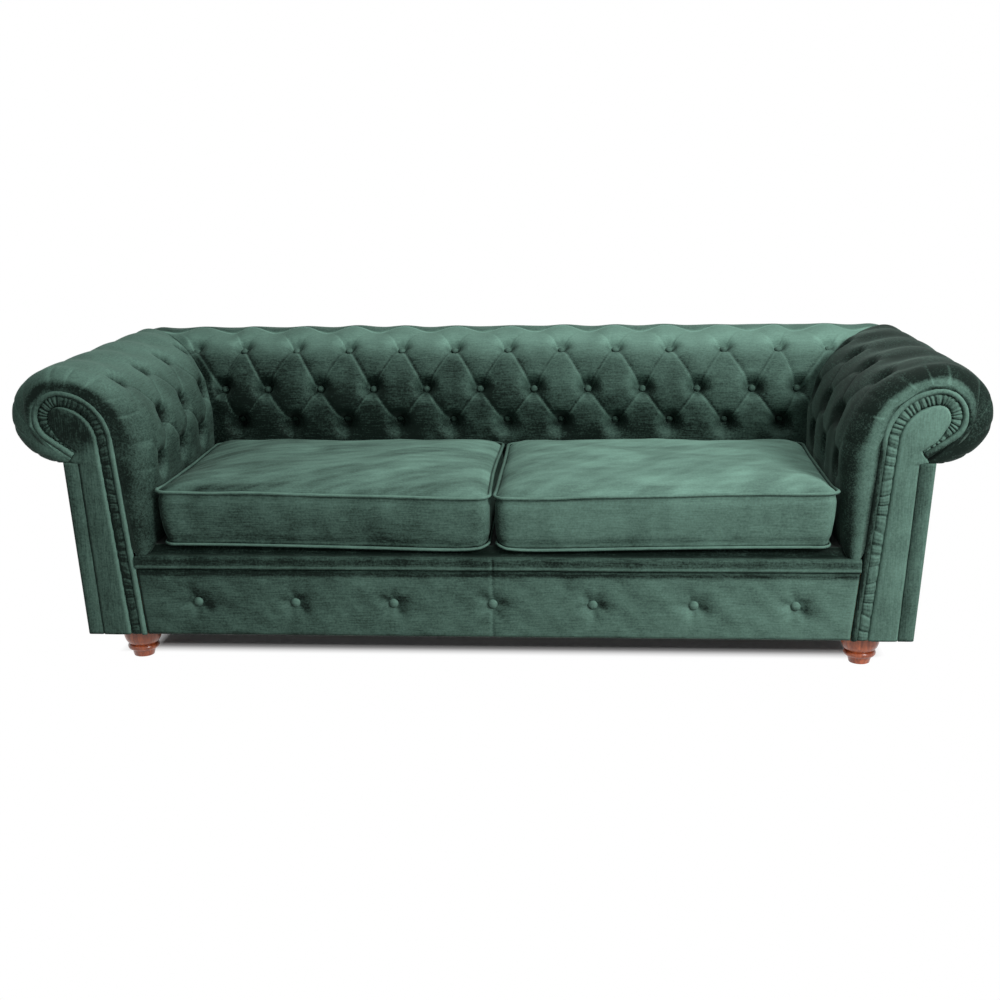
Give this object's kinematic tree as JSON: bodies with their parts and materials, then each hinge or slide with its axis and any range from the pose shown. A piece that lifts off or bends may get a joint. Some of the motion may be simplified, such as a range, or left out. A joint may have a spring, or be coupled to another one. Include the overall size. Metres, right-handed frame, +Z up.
{
  "type": "sofa",
  "caption": "Long rolled-arm sofa with deep-buttoned arms and back, scroll facings, loose seat cushions that lift off and turned wooden feet.",
  "frame": {"origin": "on the floor, in the middle of the sofa's plan", "axes": "+X along the sofa towards its right end as seen from the front, +Y from the front to the back, +Z up"},
  "size_m": [2.2, 0.9, 0.7],
  "materials": {
    "velvet": "matte",
    "velvet_trim": "matte",
    "foam": "matte",
    "felt": "matte",
    "lining": "matte",
    "zip_tape": "matte",
    "zip_metal": "satin",
    "timber": "matte",
    "stained_wood": "satin",
    "steel": "satin"
  },
  "bodies": {
    "sofa_body": {"arm_buttons_left": "velvet_trim", "arm_buttons_right": "velvet_trim", "arm_foam_left": "foam", "arm_foam_right": "foam", "arm_front_board_left": "timber", "arm_front_board_right": "timber", "arm_rails_left": "timber", "arm_rails_right": "timber", "arm_ribs_left": "timber", "arm_ribs_right": "timber", "back_buttons": "velvet_trim", "back_foam": "foam", "back_rail": "timber", "back_rails": "timber", "back_ribs": "timber", "corner_blocks": "timber", "cross_rails": "timber", "deck_cover": "lining", "deck_foam": "foam", "dust_cover": "lining", "facing_panel_left": "velvet", "facing_panel_right": "velvet", "facing_piping_left": "velvet_trim", "facing_piping_right": "velvet_trim", "facing_ruche_left": "velvet", "facing_ruche_right": "velvet", "foot_bolts": "steel", "foot_front_left": "stained_wood", "foot_front_right": "stained_wood", "foot_rear_left": "stained_wood", "foot_rear_right": "stained_wood", "frame_screws": "steel", "front_buttons": "velvet_trim", "front_panel": "velvet", "front_rail": "timber", "inside_arm_cover_left": "velvet", "inside_arm_cover_right": "velvet", "inside_back_cover": "velvet", "outside_arm_cover_left": "velvet", "outside_arm_cover_right": "velvet", "outside_back_cover": "velvet", "seat_lip": "velvet", "side_rail_left": "timber", "side_rail_right": "timber", "spring_clips": "steel", "spring_felt": "felt", "spring_rails": "timber", "tee_nuts": "steel", "zigzag_springs": "steel"},
    "cushion_left": {"cushion_cover_left": "velvet", "cushion_foam_left": "foam", "cushion_piping_left": "velvet_trim", "cushion_zip_left": "zip_tape"},
    "zip_slider_left": {"zip_slider_left": "zip_metal"},
    "cushion_right": {"cushion_cover_right": "velvet", "cushion_foam_right": "foam", "cushion_piping_right": "velvet_trim", "cushion_zip_right": "zip_tape"},
    "zip_slider_right": {"zip_slider_right": "zip_metal"}
  },
  "joints": [
    {"name": "cushion_left_lift", "type": "slide", "parent": "sofa_body", "child": "cushion_left", "axis": [0, 0, 1], "range_m": [0, 0.45]},
    {"name": "zip_left_pull", "type": "slide", "parent": "cushion_left", "child": "zip_slider_left", "axis": [1, 0, 0], "range_m": [0, 0.56]},
    {"name": "cushion_right_lift", "type": "slide", "parent": "sofa_body", "child": "cushion_right", "axis": [0, 0, 1], "range_m": [0, 0.45]},
    {"name": "zip_right_pull", "type": "slide", "parent": "cushion_right", "child": "zip_slider_right", "axis": [-1, 0, 0], "range_m": [0, 0.56]}
  ]
}
